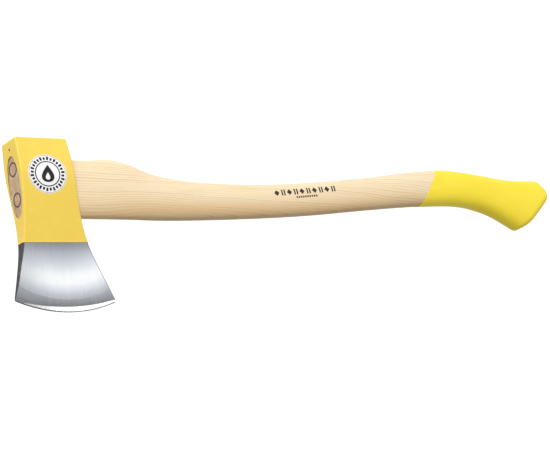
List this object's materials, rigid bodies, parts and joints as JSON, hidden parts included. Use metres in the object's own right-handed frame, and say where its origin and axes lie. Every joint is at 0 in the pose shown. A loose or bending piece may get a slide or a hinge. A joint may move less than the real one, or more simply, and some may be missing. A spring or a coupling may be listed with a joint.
{
  "type": "fire axe",
  "caption": "Hand axe with a forged, part-painted steel head on a curved wooden handle with a dipped knob end.",
  "frame": {"origin": "on the middle line of the handle, where it leaves the rear face of the head", "axes": "+X along the handle from the head to the knob, +Z from the cutting edge up to the poll, -Y towards the cheek with the label"},
  "size_m": [0.71, 0.0344, 0.1788],
  "materials": {
    "head_steel": "ground, satin, polished along the cutting edge",
    "head_paint": "smooth satin paint, warm yellow",
    "handle_wood": "pale straight-grained hardwood, sanded and oiled",
    "wedge_wood": "darker hardwood end grain",
    "ring_steel": "dark drawn steel",
    "label_film": "printed white film",
    "dip_coating": "smooth glossy dipped coating, lemon yellow"
  },
  "bodies": {
    "root": {"axe_head": "head_steel", "head_paint": "head_paint", "handle": "handle_wood", "eye_wedge": "wedge_wood", "ring_wedge_upper": "ring_steel", "ring_wedge_lower": "ring_steel", "cheek_label": "label_film", "grip_coating": "dip_coating"}
  },
  "joints": []
}
